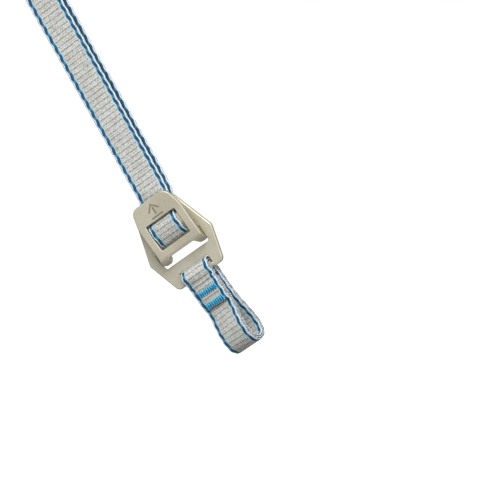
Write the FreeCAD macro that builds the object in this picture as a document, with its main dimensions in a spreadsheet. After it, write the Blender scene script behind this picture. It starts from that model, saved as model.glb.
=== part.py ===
import FreeCAD, Part
import math
import os
import re

import Sketcher

# A quick-connect buckle for a hammock strap, hanging from the eye of its strap.
# X is across the plates, -Y is the front and +Z is up, towards the anchor. The driving
# dimensions are in millimetres and are measured in the receiver plate's own frame: x from its
# centre line, y from its front face and z from its bottom edge. Every sub-part is then placed
# so that the origin lies in the strap's eye, where the part hangs.
DIMENSIONS = (
    ("plate_thickness", 3.0, "thickness of both plates"),
    ("plate_gap", 2.4, "between the plates, filled by two layers of webbing"),
    ("edge_break", 0.45, "chamfer on the receiver plate's outlines"),
    ("edge_round", 0.6, "rounding on the hook plate's outlines"),
    # Receiver plate
    ("receiver_top", 52.4, "height of the receiver plate"),
    ("receiver_top_half", 13.3, "half width at its top edge"),
    ("receiver_wide_half", 23.7, "half width where it is widest"),
    ("receiver_wide_height", 21.4, "height of its widest place"),
    ("receiver_base_half", 17.1, "half width at its bottom edge"),
    ("receiver_corner", 4.0, "radius of its top and bottom corners"),
    ("receiver_side_corner", 3.0, "radius of its side corners"),
    ("slot_half", 16.9, "half width of the slot that takes the feet"),
    ("slot_low", 14.4, "bottom of the slot, which is the top of the crossbar"),
    ("slot_high", 24.5, "top of the slot at the front face"),
    ("slot_corner", 1.2, "radius of the slot's corners"),
    ("seat_slope", 15.0, "slope of the slot's top edge and of the feet, up towards the back"),
    ("loop_window_half", 10.85, "half width of the lower window"),
    ("loop_window_high", 8.0, "top of the lower window"),
    ("loop_bar_radius", 1.75, "radius of the round bar below it"),
    ("loop_bar_height", 1.8, "height of that bar's axis"),
    # Hook plate
    ("hook_shift", 1.65, "the hook plate's centre line, pushed to one side of the slot"),
    ("hook_top", 54.2, "top edge of the hook plate"),
    ("hook_top_half", 12.7, "half width at its top edge"),
    ("hook_half", 15.9, "half width of its parallel sides"),
    ("hook_side_top", 42.5, "height where its sides start to taper"),
    ("hook_base", 15.9, "bottom of its feet"),
    ("hook_shoulder", 5.6, "radius of its top corners"),
    ("hook_side_bend", 14.0, "radius where its sides start to taper"),
    ("window_half", 10.9, "half width of its window"),
    ("window_low", 24.95, "bottom of its window"),
    ("window_high", 41.45, "top of its window"),
    ("window_corner", 0.8, "radius of the window's corners"),
    ("notch_half", 9.4, "half width of the notch between its feet, at its top"),
    ("notch_base_half", 12.0, "half width of that notch at the bottom of the feet"),
    ("notch_high", 19.5, "top of that notch"),
    ("notch_corner", 3.0, "radius of the notch's corners"),
    ("foot_corner", 2.2, "radius of the feet's lower corners"),
    ("toe_high", 21.6, "height where the front of the feet starts to curve back"),
    ("toe_radius", 8.0, "radius of that curve"),
    ("foot_inner", 11.9, "inner side of the part of a foot that reaches back"),
    ("foot_outer", 15.05, "outer side of that part"),
    ("foot_sunk", 0.3, "how far that part is sunk into the plate"),
    ("foot_flat", 0.8, "how far the flat underside of a foot reaches"),
    ("foot_reach", 4.8, "how far the feet reach behind the receiver's front face"),
    ("foot_rise", 2.6, "how much the underside of a foot rises to its tip"),
    ("foot_round", 1.2, "rounding of a foot's lower edges"),
    ("seat_clearance", 0.04, "between the feet and the slot's top edge"),
    ("mark_depth", 0.6, "depth of the load arrow's lines, pressed into the top bar"),
    ("mark_height", 47.3, "height of the arrow's centre"),
    # Webbing
    ("web_width", 20.0, "width of the webbing"),
    ("web_thickness", 1.05, "thickness of the webbing"),
    ("web_clearance", 0.1, "between webbing and its neighbours"),
    ("wrap_shift", 1.1, "centre line of the webbing in the window"),
    ("front_exit", 5.55, "centre line of the front layer above the plates"),
    ("back_exit", 8.05, "centre line of the back layer above the plates"),
    ("skew_height", 48.0, "height where the webbing starts to run off to the side"),
    ("fold_height", 56.2, "height of the line where the strap folds"),
    ("fold_gap", 1.7, "between that line and the end of each webbing solid"),
    ("strap_lean", 6.1, "lean of the strap to the side"),
    ("strap_twist", 6.5, "twist of the strap about its own line"),
    ("tail_length", 147.0, "length of the tail above the fold"),
    ("hem_length", 12.0, "length of the hem at the tail's end"),
    ("hem_pitch", 1.3, "between the two layers of the hem"),
    ("eye_base", 171.0, "where the eye opens, above the fold"),
    ("eye_overlap", 21.0, "length of webbing sewn back below the eye"),
    ("eye_high", 203.0, "top of the eye, above the fold"),
    ("eye_half", 6.3, "half width of the eye"),
    ("eye_flare", 14.0, "height over which the eye opens"),
    ("eye_bend", 12.0, "radius of the eye's gentle bends"),
    # Hammock loop
    ("loop_shift", -0.4, "centre line of the hammock loop"),
    ("loop_layers", 3.25, "thickness of the loop's three turns of webbing"),
    ("loop_low", -50.0, "bottom of the loop"),
    ("loop_low_half", 7.2, "half width of the loop near its bottom"),
    ("loop_flare_high", -22.0, "height where the loop starts to open"),
    ("loop_flare_low", -34.0, "height where the loop has opened"),
    ("loop_bend", 14.0, "radius of the loop's gentle bends"),
    ("tuck_high", -5.0, "upper end of the webbing's tucked end"),
    ("tuck_low", -20.5, "lower end of the webbing's tucked end"),
    # Bar tacks
    ("tack_width", 14.5, "width of each bar tack"),
    ("tack_length", 3.8, "length of each bar tack along the webbing"),
    ("tack_proud", 0.35, "how far the thread stands proud"),
    ("loop_tack_high", -9.1, "height of the loop's upper bar tack"),
    ("loop_tack_low", -17.2, "height of the loop's lower bar tack"),
    ("eye_tack_high", 166.0, "upper bar tack below the eye, above the fold"),
    ("eye_tack_low", 155.0, "lower bar tack below the eye, above the fold"),
    ("hem_tack_height", 139.5, "bar tack of the tail's hem, above the fold"),
)

PREFIXES = {alias: "Sizes." for alias, value, meaning in DIMENSIONS}

doc = FreeCAD.newDocument("strap_buckle")
sheet = doc.addObject("Spreadsheet::Sheet", "Sizes")
for row, (alias, value, meaning) in enumerate(DIMENSIONS, start=1):
    sheet.set("A%d" % row, meaning)
    sheet.set("B%d" % row, str(value))
    sheet.setAlias("B%d" % row, alias)
doc.recompute()


def size(text):
    """The value of an expression that names the sheet's cells by their aliases."""
    return float(sheet.evalExpression(text))


def cells(text):
    """The same expression as another object of the document has to write it."""
    return re.sub("[a-z_]+", lambda word: PREFIXES.get(word[0], "") + word[0], text)


# ---------------------------------------------------------------- where the frame lies
HOOK_BACK = "- plate_gap"
HOOK_FRONT = "- plate_gap - plate_thickness"
FOLD_Y = -size("plate_gap") / 2.0
FOLD = FreeCAD.Vector(size("front_exit"), FOLD_Y, size("fold_height"))
LEAN = FreeCAD.Rotation(FreeCAD.Vector(0, 1, 0), size("strap_lean"))
TWIST = FreeCAD.Rotation(FreeCAD.Vector(0, 0, 1), size("strap_twist"))
STRAP_TURN = LEAN.multiply(TWIST)
EYE_TOP = FreeCAD.Vector(0, 0, size("eye_high - web_thickness / 2"))
ORIGIN = FOLD + STRAP_TURN.multVec(EYE_TOP)
PLATE_PLACE = FreeCAD.Placement(ORIGIN.negative(), FreeCAD.Rotation())
STRAP_PLACE = FreeCAD.Placement(FOLD - ORIGIN, STRAP_TURN)


# ---------------------------------------------------------------- helpers for the bodies
def new_body(name):
    body = doc.addObject("PartDesign::Body", name)
    body.Label = name
    body.Placement = PLATE_PLACE
    return body


def new_sketch(body, name, role):
    """A sketch on one of the body's own origin planes."""
    plane = [item for item in body.Origin.OriginFeatures if item.Role == role][0]
    sketch = body.newObject("Sketcher::SketchObject", name)
    sketch.AttachmentSupport = (plane, [""])
    sketch.MapMode = "FlatFace"
    return sketch


def bind(sketch, kind, line, end, text):
    """Ties one coordinate of a line's start, end or centre (1, 2 or 3) to the sheet."""
    number = sketch.addConstraint(Sketcher.Constraint(kind, line, end, size(text)))
    sketch.setExpression("Constraints[%d]" % number, cells(text))


def polygon(sketch, corners):
    """A closed outline with each corner's two coordinates bound to the sheet."""
    places = [FreeCAD.Vector(size(across), size(up), 0) for across, up in corners]
    for index, place in enumerate(places):
        following = places[(index + 1) % len(places)]
        sketch.addGeometry(Part.LineSegment(place, following), False)
    first = sketch.GeometryCount - len(places)
    for index, (across, up) in enumerate(corners):
        line = first + index
        following = first + (index + 1) % len(corners)
        sketch.addConstraint(Sketcher.Constraint("Coincident", line, 2, following, 1))
        bind(sketch, "DistanceX", line, 1, across)
        bind(sketch, "DistanceY", line, 1, up)


def pad(body, name, sketch, length, midplane=False, reverse=False):
    feature = body.newObject("PartDesign::Pad", name)
    feature.Profile = sketch
    feature.setExpression("Length", cells(length))
    feature.Midplane = midplane
    feature.Reversed = reverse
    doc.recompute()
    return feature


def pocket(body, name, sketch, length=None):
    """A cut to both sides of the sketch: through everything, or over a stated width."""
    before = body.Shape.Volume
    feature = body.newObject("PartDesign::Pocket", name)
    feature.Profile = sketch
    feature.Midplane = True
    if length is None:
        feature.Type = "ThroughAll"
    else:
        feature.setExpression("Length", cells(length))
    doc.recompute()
    if feature.Shape.Volume >= before:
        raise RuntimeError(name + " cuts nothing")
    return feature


def dress(body, kind, name, amount, wanted):
    """A fillet or chamfer on the edges of the body's tip that the test picks."""
    base = body.Tip
    edges = ["Edge%d" % (number + 1) for number, edge in enumerate(base.Shape.Edges)
             if wanted(edge)]
    if not edges:
        raise RuntimeError(name + " finds no edge")
    feature = body.newObject("PartDesign::" + kind, name)
    feature.Base = (base, edges)
    feature.setExpression("Radius" if kind == "Fillet" else "Size", cells(amount))
    doc.recompute()
    return feature


NEAR = 0.02
TINY = 0.000001


def near(value, text):
    return abs(value - size(text)) < NEAR


def along_y(edge):
    """Whether an edge runs from front to back."""
    box = edge.BoundBox
    return box.XLength < NEAR and box.ZLength < NEAR + box.YLength * 0.5 and box.YLength > 1.0


def in_plane_y(edge, level):
    box = edge.BoundBox
    return abs(box.YMin - level) < NEAR and abs(box.YMax - level) < NEAR


# ---------------------------------------------------------------- receiver plate
def make_receiver():
    body = new_body("receiver_plate")
    sketch = new_sketch(body, "receiver_outline", "XZ_Plane")
    polygon(sketch, (
        ("receiver_base_half", "0"),
        ("receiver_wide_half", "receiver_wide_height"),
        ("receiver_top_half", "receiver_top"),
        ("- receiver_top_half", "receiver_top"),
        ("- receiver_wide_half", "receiver_wide_height"),
        ("- receiver_base_half", "0"),
    ))
    pad(body, "receiver_blank", sketch, "plate_thickness", reverse=True)
    dress(body, "Fillet", "receiver_sides", "receiver_side_corner",
          lambda edge: along_y(edge) and near(edge.BoundBox.ZMin, "receiver_wide_height"))
    dress(body, "Fillet", "receiver_corners", "receiver_corner",
          lambda edge: along_y(edge) and (near(edge.BoundBox.ZMin, "0")
                                          or near(edge.BoundBox.ZMin, "receiver_top")))

    # The slot's top edge slopes up towards the back, so that a load holds the feet in it.
    sketch = new_sketch(body, "slot_section", "YZ_Plane")
    polygon(sketch, (
        ("-1", "slot_low"),
        ("plate_thickness + 1", "slot_low"),
        ("plate_thickness + 1", "slot_high + ( plate_thickness + 1 ) * tan( seat_slope )"),
        ("-1", "slot_high - tan( seat_slope )"),
    ))
    pocket(body, "slot", sketch, "slot_half * 2")
    dress(body, "Fillet", "slot_corners", "slot_corner",
          lambda edge: along_y(edge) and near(edge.BoundBox.ZMin, "slot_low"))

    sketch = new_sketch(body, "loop_window_outline", "XZ_Plane")
    polygon(sketch, (
        ("loop_window_half", "-1"),
        ("loop_window_half", "loop_window_high"),
        ("- loop_window_half", "loop_window_high"),
        ("- loop_window_half", "-1"),
    ))
    pocket(body, "loop_window", sketch)
    dress(body, "Fillet", "loop_window_corners", "window_corner",
          lambda edge: along_y(edge) and near(edge.BoundBox.ZMin, "loop_window_high"))
    front_and_back = (0.0, size("plate_thickness"))
    dress(body, "Chamfer", "receiver_edges", "edge_break",
          lambda edge: any(in_plane_y(edge, level) for level in front_and_back))

    sketch = new_sketch(body, "loop_bar_section", "YZ_Plane")
    centre = FreeCAD.Vector(size("plate_thickness / 2"), size("loop_bar_height"), 0)
    axis = FreeCAD.Vector(0, 0, 1)
    sketch.addGeometry(Part.Circle(centre, axis, size("loop_bar_radius")), False)
    bind(sketch, "DistanceX", 0, 3, "plate_thickness / 2")
    bind(sketch, "DistanceY", 0, 3, "loop_bar_height")
    number = sketch.addConstraint(Sketcher.Constraint("Radius", 0, size("loop_bar_radius")))
    sketch.setExpression("Constraints[%d]" % number, cells("loop_bar_radius"))
    pad(body, "loop_bar", sketch, "( loop_window_half + 1 ) * 2", midplane=True)
    return body


# ---------------------------------------------------------------- hook plate
# Section of the bar in the window, (y, z) in the receiver plate's frame, inside the webbing.
STRAP_BAR = (
    ("-1.35", "28.45"),
    ("-1.35", "39.45"),
    ("-2.6", "39.45"),
    ("-4.3", "38.35"),
    ("-4.75", "37.55"),
    ("-4.5", "32.25"),
    ("-2.5", "28.1"),
    ("-1.9", "28.0"),
)


def mirrored(corners):
    """An outline from its right half, both halves measured from the hook plate's centre."""
    right = [("hook_shift + " + across, up) for across, up in corners]
    left = [("hook_shift - " + across, up) for across, up in reversed(corners)]
    return right + left


def make_hook():
    body = new_body("hook_plate")
    sketch = new_sketch(body, "hook_outline", "XZ_Plane")
    polygon(sketch, mirrored((
        ("hook_half", "hook_base"),
        ("hook_half", "hook_side_top"),
        ("hook_top_half", "hook_top"),
    )))
    # The sketch lies in the receiver's front face, so its plane moves forward by the gap.
    sketch.setExpression("AttachmentOffset.Base.z", cells("plate_gap"))
    pad(body, "hook_blank", sketch, "plate_thickness")
    dress(body, "Fillet", "hook_side_bends", "hook_side_bend",
          lambda edge: along_y(edge) and near(edge.BoundBox.ZMin, "hook_side_top"))
    dress(body, "Fillet", "hook_shoulders", "hook_shoulder",
          lambda edge: along_y(edge) and near(edge.BoundBox.ZMin, "hook_top"))

    sketch = new_sketch(body, "window_outline", "XZ_Plane")
    polygon(sketch, mirrored((("window_half", "window_low"), ("window_half", "window_high"))))
    pocket(body, "window", sketch)
    dress(body, "Fillet", "window_corners", "window_corner",
          lambda edge: along_y(edge)
          and near(abs(edge.BoundBox.XMin - size("hook_shift")), "window_half"))

    # The notch opens downwards; its lower edge lies a hair below the feet.
    sketch = new_sketch(body, "notch_outline", "XZ_Plane")
    polygon(sketch, mirrored((("notch_base_half", "hook_base - 0.01"),
                              ("notch_half", "notch_high"))))
    pocket(body, "notch", sketch)
    dress(body, "Fillet", "notch_corners", "notch_corner",
          lambda edge: along_y(edge) and near(edge.BoundBox.ZMin, "notch_high"))
    dress(body, "Fillet", "foot_corners", "foot_corner",
          lambda edge: along_y(edge) and near(edge.BoundBox.ZMin, "hook_base"))
    faces = (size(HOOK_FRONT), size(HOOK_BACK))
    dress(body, "Fillet", "hook_edges", "edge_round",
          lambda edge: any(in_plane_y(edge, level) for level in faces))

    curve_toes(body)

    # The bar in the window that the webbing runs round: it faces the front, and its lower
    # side slopes away to the back.
    sketch = new_sketch(body, "strap_bar_section", "YZ_Plane")
    polygon(sketch, STRAP_BAR)
    sketch.setExpression("AttachmentOffset.Base.z", cells("hook_shift"))
    pad(body, "strap_bar", sketch, "( window_half + 0.6 ) * 2", midplane=True)
    return body


def curve_toes(body):
    """Cuts the front of the feet to an arc that leads back towards their lower ends."""
    sketch = new_sketch(body, "toe_outline", "YZ_Plane")
    low = "hook_base - 1"
    ahead = HOOK_FRONT + " - 1"
    radius = size("toe_radius")
    centre = FreeCAD.Vector(size(HOOK_FRONT) + radius, size("toe_high"), 0)
    turn = math.asin((centre.y - size(low)) / radius)
    arc_end = FreeCAD.Vector(centre.x - radius * math.cos(turn), size(low), 0)
    front_low = FreeCAD.Vector(size(ahead), size(low), 0)
    front_high = FreeCAD.Vector(size(ahead), centre.y, 0)
    arc_start = FreeCAD.Vector(centre.x - radius, centre.y, 0)
    circle = Part.Circle(centre, FreeCAD.Vector(0, 0, 1), radius)
    sketch.addGeometry(Part.LineSegment(arc_end, front_low), False)
    sketch.addGeometry(Part.LineSegment(front_low, front_high), False)
    sketch.addGeometry(Part.LineSegment(front_high, arc_start), False)
    sketch.addGeometry(Part.ArcOfCircle(circle, math.pi, math.pi + turn), False)
    for line, end, following, start in ((0, 2, 1, 1), (1, 2, 2, 1), (2, 2, 3, 1), (3, 2, 0, 1)):
        sketch.addConstraint(Sketcher.Constraint("Coincident", line, end, following, start))
    bind(sketch, "DistanceX", 3, 3, HOOK_FRONT + " + toe_radius")
    bind(sketch, "DistanceY", 3, 3, "toe_high")
    bind(sketch, "DistanceX", 2, 2, HOOK_FRONT)
    bind(sketch, "DistanceY", 2, 2, "toe_high")
    bind(sketch, "DistanceX", 2, 1, ahead)
    bind(sketch, "DistanceY", 2, 1, "toe_high")
    bind(sketch, "DistanceX", 1, 1, ahead)
    bind(sketch, "DistanceY", 1, 1, low)
    bind(sketch, "DistanceY", 0, 1, low)
    pocket(body, "toes", sketch)


def make_feet(body):
    """The two feet reach back through the receiver's slot and carry its top edge."""
    seat = "slot_high - seat_clearance"
    root = HOOK_BACK + " - foot_sunk"
    for name, side in (("left_foot", "-"), ("right_foot", "+")):
        sketch = new_sketch(body, name + "_section", "YZ_Plane")
        polygon(sketch, (
            (root, "hook_base"),
            ("foot_flat", "hook_base"),
            ("foot_reach", "hook_base + foot_rise"),
            ("foot_reach", seat + " + foot_reach * tan( seat_slope )"),
            (root, seat + " - ( plate_gap + foot_sunk ) * tan( seat_slope )"),
        ))
        middle = "( foot_inner + foot_outer ) / 2"
        sketch.setExpression("AttachmentOffset.Base.z", cells("hook_shift " + side + middle))
        pad(body, name, sketch, "foot_outer - foot_inner", midplane=True)
        dress(body, "Fillet", name + "_round", "foot_round",
              lambda edge: along_y(edge) and edge.BoundBox.YMin > size(root) - NEAR
              and edge.BoundBox.ZMax < size("hook_base + foot_rise") + NEAR)


def make_mark(body):
    """A plain arrow over a bar in the top bar, pressed in, that points towards the anchor."""
    head = (
        ("0.05", "mark_height + 2.9"),
        ("3.3", "mark_height - 0.3"),
        ("4.1", "mark_height + 0.3"),
        ("0.05", "mark_height + 4.3"),
    )
    stem = (("0.5", "mark_height - 2.6"), ("0.5", "mark_height + 1.9"))
    bar = (("4.1", "mark_height - 4.3"), ("4.1", "mark_height - 3.4"))
    for name, corners in (("arrow_head", head), ("arrow_stem", stem), ("arrow_bar", bar)):
        sketch = new_sketch(body, name + "_outline", "XZ_Plane")
        polygon(sketch, mirrored(corners))
        sketch.setExpression("AttachmentOffset.Base.z", cells("plate_gap + plate_thickness"))
        pocket(body, name, sketch, "mark_depth * 2")


# ---------------------------------------------------------------- webbing
# Each run of webbing is a band of one thickness that follows a route of straight runs and
# tangent arcs in the YZ plane. A route is a list of (y, z, radius).
def rounded(route, closed=False):
    """The straight edges and arcs of a route."""
    edges = []
    count = len(route)
    spots = [FreeCAD.Vector(0, y, z) for y, z, radius in route]
    starts = list(spots)
    ends = list(spots)
    arcs = [None] * count
    for index, (y, z, radius) in enumerate(route):
        inner = closed or 0 < index < count - 1
        if not inner or radius <= 0:
            continue
        spot = spots[index]
        back = (spots[index - 1] - spot).normalize()
        ahead = (spots[(index + 1) % count] - spot).normalize()
        half = back.getAngle(ahead) / 2.0
        reach = radius / math.tan(half)
        middle = (back + ahead).normalize() * (radius / math.sin(half) - radius)
        starts[index] = spot + back * reach
        ends[index] = spot + ahead * reach
        arcs[index] = Part.Arc(starts[index], spot + middle, ends[index]).toShape()
    for index in range(count if closed else count - 1):
        following = (index + 1) % count
        if arcs[index]:
            edges.append(arcs[index])
        if ends[index].distanceToPoint(starts[following]) > TINY:
            edges.append(Part.LineSegment(ends[index], starts[following]).toShape())
    return edges


def beside(route, distance, closed=False):
    """The route moved to its left by a distance, with its arcs' radii to match."""
    count = len(route)
    moved = []
    for index, (y, z, radius) in enumerate(route):
        spot = FreeCAD.Vector(0, y, z)
        normals = []
        for first, second in ((index - 1, index), (index, index + 1)):
            if closed or (first >= 0 and second < count):
                start = FreeCAD.Vector(0, *route[first][:2])
                end = FreeCAD.Vector(0, *route[second % count][:2])
                run = (end - start).normalize()
                normals.append(FreeCAD.Vector(0, -run.z, run.y))
        before, after = normals[0], normals[-1]
        shift = (before + after) * (distance / (1.0 + before.dot(after)))
        turn = before.cross(after).x
        inside = distance if turn > 0 else -distance
        moved.append((spot.y + shift.y, spot.z + shift.z, radius - inside if radius else 0))
    return moved


def band(route, thickness, centre, closed=False):
    """Webbing of the full width that follows the route."""
    left = rounded(beside(route, thickness / 2.0, closed), closed)
    right = rounded(beside(route, -thickness / 2.0, closed), closed)
    if closed:
        wires = [Part.Wire(Part.__sortEdges__(side)) for side in (left, right)]
        wires.sort(key=lambda wire: Part.Face(wire).Area, reverse=True)
        section = Part.Face(wires[0]).cut(Part.Face(wires[1])).Faces[0]
    else:
        ends = []
        for index, vertex in ((0, 0), (-1, -1)):
            pair = (left[index].Vertexes[vertex].Point, right[index].Vertexes[vertex].Point)
            ends.append(Part.makeLine(*pair))
        section = Part.Face(Part.Wire(Part.__sortEdges__(left + right + ends)))
    width = size("web_width")
    section.translate(FreeCAD.Vector(centre - width / 2.0, 0, 0))
    return section.extrude(FreeCAD.Vector(width, 0, 0))


def skewed(middle, line):
    """A flat layer of webbing whose centre line runs off to the side; line is (z, x)."""
    half = size("web_width / 2")
    thickness = size("web_thickness")
    level = middle - thickness / 2.0
    sides = [FreeCAD.Vector(x - half, level, z) for z, x in line]
    sides += [FreeCAD.Vector(x + half, level, z) for z, x in reversed(line)]
    section = Part.Face(Part.makePolygon(sides + sides[:1]))
    return section.extrude(FreeCAD.Vector(0, thickness, 0))


def new_feature(name, shape, placement):
    feature = doc.addObject("Part::Feature", name)
    feature.Label = name
    feature.Shape = shape
    feature.Placement = placement
    return feature


def make_wrap():
    """The strap inside the buckle: down behind the top bar, out over the bar in the window,
    back under it and up in front of the receiver plate."""
    centre = size("wrap_shift")
    front = size("- plate_gap + web_clearance + web_thickness / 2")
    back = size("- web_clearance - web_thickness / 2")
    top = size("fold_height - fold_gap")
    skew = size("skew_height")
    wrap_high = size("window_high + 1.2")
    back_low = size("window_low + 4.2")
    route = (
        (front, wrap_high, 0),
        (front, 41.05, 1.2),
        (-5.6, 38.75, 1.5),
        (-5.3, 31.75, 5.0),
        (-2.5, 26.25, 1.2),
        (back, 27.75, 1.0),
        (back, back_low, 0),
    )
    shape = band(route, size("web_thickness"), centre)
    shape = shape.fuse(skewed(front, (
        (wrap_high, centre),
        (skew, size("wrap_shift + ( front_exit - wrap_shift ) * 0.2")),
        (top, size("front_exit")),
    )))
    shape = shape.fuse(skewed(back, (
        (back_low, centre),
        (skew, size("wrap_shift + ( back_exit - wrap_shift ) * 0.3")),
        (top, size("back_exit")),
    )))
    return new_feature("strap_in_buckle", shape.removeSplitter(), PLATE_PLACE)


# Above the buckle, the strap is built in its own frame: its origin in the fold, Z along it.
LAYER = size("web_clearance / 2 + web_thickness / 2")


def make_strap_run():
    """The front layer, which ends in the sewn eye that the part hangs from."""
    half = size("eye_half")
    base = size("eye_base")
    opened = size("eye_base + eye_flare")
    high = size("eye_high")
    bend = size("eye_bend")
    route = (
        (-LAYER, size("fold_gap"), 0),
        (-LAYER, base, bend),
        (-half, opened, bend),
        (-half, high, half),
        (half, high, half),
        (half, opened, bend),
        (LAYER, base, bend),
        (LAYER, size("eye_base - eye_overlap"), 0),
    )
    return new_feature("strap_run", band(route, size("web_thickness"), 0), STRAP_PLACE)


def make_strap_tail():
    """The back layer, which ends in a folded hem below the eye."""
    hem = size("hem_pitch")
    high = size("tail_length")
    route = (
        (LAYER, size("fold_gap"), 0),
        (LAYER, high, hem / 2.0),
        (LAYER + hem, high, hem / 2.0),
        (LAYER + hem, size("tail_length - hem_length"), 0),
    )
    offset = size("back_exit - front_exit")
    return new_feature("strap_tail", band(route, size("web_thickness"), offset), STRAP_PLACE)


def make_loop():
    """The hammock's loop: three turns of webbing round the receiver plate's lower bar, with
    the webbing's end tucked in behind the front leg."""
    middle = size("plate_thickness / 2")
    thick = size("loop_layers")
    upper = size("loop_bar_radius + 0.2 + loop_layers / 2")
    top = size("loop_bar_height") + upper
    lower = size("loop_low_half")
    bend = size("loop_bend")
    route = (
        (middle - upper, top, upper),
        (middle + upper, top, upper),
        (middle + upper, size("loop_flare_high"), bend),
        (middle + lower, size("loop_flare_low"), bend),
        (middle + lower, size("loop_low + loop_layers / 2"), lower),
        (middle - lower, size("loop_low + loop_layers / 2"), lower),
        (middle - lower, size("loop_flare_low"), bend),
        (middle - upper, size("loop_flare_high"), bend),
    )
    shape = band(route, thick, size("loop_shift"), closed=True)
    inside = middle - upper + thick / 2.0
    sunk = 0.3
    tuck = Part.makeBox(
        size("web_width"), size("web_thickness") + sunk, size("tuck_high - tuck_low"),
        FreeCAD.Vector(size("loop_shift - web_width / 2"), inside - sunk, size("tuck_low")))
    return new_feature("hammock_loop", shape.fuse(tuck).removeSplitter(), PLATE_PLACE)


def make_tack(name, centre, face, side, height, placement):
    """A bar tack's thread, standing on a face of the webbing that looks to the given side."""
    tack = doc.addObject("Part::Box", name)
    tack.Label = name
    tack.setExpression("Length", cells("tack_width"))
    tack.setExpression("Width", cells("tack_proud"))
    tack.setExpression("Height", cells("tack_length"))
    low_y = face if side > 0 else face - size("tack_proud")
    corner = FreeCAD.Vector(centre - size("tack_width / 2"), low_y, height - size("tack_length / 2"))
    tack.Placement = placement.multiply(FreeCAD.Placement(corner, FreeCAD.Rotation()))
    return tack


def make_tacks():
    loop_face = size("plate_thickness / 2 - loop_bar_radius - 0.2 - loop_layers")
    strap_face = size("web_clearance / 2 + web_thickness")
    hem_face = size("web_clearance / 2 + web_thickness + hem_pitch")
    places = (
        ("loop_tack_upper", "loop_shift", loop_face, -1, "loop_tack_high", PLATE_PLACE),
        ("loop_tack_lower", "loop_shift", loop_face, -1, "loop_tack_low", PLATE_PLACE),
        ("eye_tack_upper", "0", -strap_face, -1, "eye_tack_high", STRAP_PLACE),
        ("eye_tack_lower", "0", -strap_face, -1, "eye_tack_low", STRAP_PLACE),
        ("hem_tack", "back_exit - front_exit", hem_face, 1, "hem_tack_height", STRAP_PLACE),
    )
    return [make_tack(name, size(centre), face, side, size(height), placement)
            for name, centre, face, side, height, placement in places]


# ---------------------------------------------------------------- the whole part
hook = make_hook()
make_feet(hook)
make_mark(hook)
pieces = [hook, make_receiver(), make_wrap(), make_strap_run(), make_strap_tail(), make_loop()]
pieces += make_tacks()
doc.recompute()

for item in doc.Objects:
    if "Invalid" in item.State or "Error" in item.State:
        raise RuntimeError(item.Name + " failed: " + str(item.State))
for piece in pieces:
    shape = piece.Shape
    if shape.isNull() or not shape.isValid() or len(shape.Solids) != 1:
        raise RuntimeError(piece.Label + " isn't one valid solid")

os.makedirs("parts", exist_ok=True)
for piece in pieces:
    piece.Shape.exportStep("parts/%s.step" % piece.Label)
    print("%-18s %9.1f mm3" % (piece.Label, piece.Shape.Volume))
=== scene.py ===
"""Looks of the hammock strap buckle: webbing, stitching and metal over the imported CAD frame."""
import math

import bmesh
import bpy
import numpy as np
from mathutils import Matrix, Vector


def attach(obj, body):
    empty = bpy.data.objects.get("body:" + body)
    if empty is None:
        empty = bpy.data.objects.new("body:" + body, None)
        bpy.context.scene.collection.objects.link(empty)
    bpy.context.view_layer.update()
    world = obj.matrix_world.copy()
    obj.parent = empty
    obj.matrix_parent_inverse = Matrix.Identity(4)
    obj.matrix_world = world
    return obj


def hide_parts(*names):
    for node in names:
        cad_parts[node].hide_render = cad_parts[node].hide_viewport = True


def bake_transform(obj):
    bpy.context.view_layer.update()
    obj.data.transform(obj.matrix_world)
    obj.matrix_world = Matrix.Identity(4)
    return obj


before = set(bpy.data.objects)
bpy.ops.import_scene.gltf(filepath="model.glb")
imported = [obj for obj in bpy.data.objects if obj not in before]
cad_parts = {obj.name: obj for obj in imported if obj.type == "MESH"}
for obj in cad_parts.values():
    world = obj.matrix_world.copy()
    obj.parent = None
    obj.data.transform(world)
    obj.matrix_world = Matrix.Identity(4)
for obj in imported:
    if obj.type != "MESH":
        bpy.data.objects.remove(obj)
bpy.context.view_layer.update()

# Lengths are in millimetres and angles in degrees unless a comment or a name says otherwise.
MM = 0.001

# The plates' frame has its origin at the receiver plate's centre line, front face and bottom
# edge, with -Y to the front and +Z up. This is where that lies in the row frame.
PLATE_ORIGIN = np.array((-27.0658, 1.2, -257.5286))

# The strap leaves the buckle at the fold, leaning sideways and turned about its own length
FOLD = np.array((5.55, -1.2, 56.2))
STRAP_LEAN = 6.1
STRAP_TWIST = 6.5

# The hammock loop hangs on the receiver plate's lower bar, whose axis is at this depth and
# height. Below the bar it twists about an upright axis, most of it within the reach.
BAR_DEPTH = 1.5
BAR_HEIGHT = 1.8
LOOP_AXIS = (-0.4, -1.2)
LOOP_TWIST = -12.0
LOOP_TWIST_REACH = 9.0

WEB_WIDTH = 20.0
WEB_THICKNESS = 1.05
RIB_PITCH = 1.55
# A blue tracer runs along each edge of the webbing, this far from its middle, and sways a
# little with its dashes. The dashes of the right-hand tracer lie a share of their pitch ahead.
TRACER_PLACE = 8.0
TRACER_WAVE = 0.22
DASH_PITCH = 4 * RIB_PITCH
DASH_SHIFT = 0.27


# ---------------------------------------------------------------- places and lines
def cos_sin(angle):
    """An angle's cosine and sine."""
    turned = math.radians(angle)
    return math.cos(turned), math.sin(turned)


def turn_y(angle):
    """The turn by an angle about the Y axis."""
    c, s = cos_sin(angle)
    return np.array(((c, 0, s), (0, 1, 0), (-s, 0, c)))


def turn_z(angle):
    """The turn by an angle about the Z axis."""
    c, s = cos_sin(angle)
    return np.array(((c, -s, 0), (s, c, 0), (0, 0, 1)))


STRAP_TURN = turn_y(STRAP_LEAN) @ turn_z(STRAP_TWIST)


def on_strap(x, y, z):
    """A point of the strap above the buckle, given in the strap's own frame."""
    return FOLD + STRAP_TURN @ np.array((x, y, z))


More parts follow.
